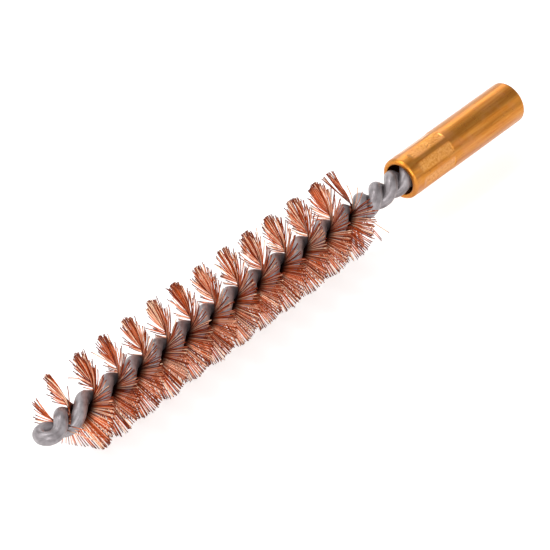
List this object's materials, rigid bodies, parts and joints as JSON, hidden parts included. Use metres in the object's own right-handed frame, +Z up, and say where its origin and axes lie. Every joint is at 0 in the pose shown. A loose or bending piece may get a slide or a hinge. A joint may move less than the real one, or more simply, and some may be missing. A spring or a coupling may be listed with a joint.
{
  "type": "twisted wire tube brush",
  "caption": "Tube cleaning brush: bronze filaments held in a twisted wire stem with an eye at the tip, and a crimped brass ferrule with a threaded bore at the rear.",
  "frame": {"origin": "centre of the ferrule's rear face, where the tapped hole opens", "axes": "+X out of the tapped hole along the brush's axis, the brush lies along -X, +Z up with the brush lying on its side"},
  "size_m": [0.1257, 0.017, 0.017],
  "materials": {
    "galvanised_wire": "galvanised steel wire, drawn and dull",
    "turned_brass": "turned brass, lightly worn, with die marks where it is crimped",
    "bronze_filament": "drawn phosphor bronze filament, bright with dark cut ends"
  },
  "bodies": {
    "root": {"stem_wire": "galvanised_wire", "ferrule": "turned_brass", "bristle_tuft_01": "bronze_filament", "bristle_tuft_02": "bronze_filament", "bristle_tuft_03": "bronze_filament", "bristle_tuft_04": "bronze_filament", "bristle_tuft_05": "bronze_filament", "bristle_tuft_06": "bronze_filament", "bristle_tuft_07": "bronze_filament", "bristle_tuft_08": "bronze_filament", "bristle_tuft_09": "bronze_filament", "bristle_tuft_10": "bronze_filament", "bristle_tuft_11": "bronze_filament", "bristle_tuft_12": "bronze_filament", "bristle_tuft_13": "bronze_filament", "bristle_tuft_14": "bronze_filament", "bristle_tuft_15": "bronze_filament", "bristle_tuft_16": "bronze_filament", "bristle_tuft_17": "bronze_filament", "bristle_tuft_18": "bronze_filament", "bristle_tuft_19": "bronze_filament", "bristle_tuft_20": "bronze_filament", "bristle_tuft_21": "bronze_filament", "bristle_tuft_22": "bronze_filament", "bristle_tuft_23": "bronze_filament", "bristle_tuft_24": "bronze_filament"}
  },
  "joints": []
}
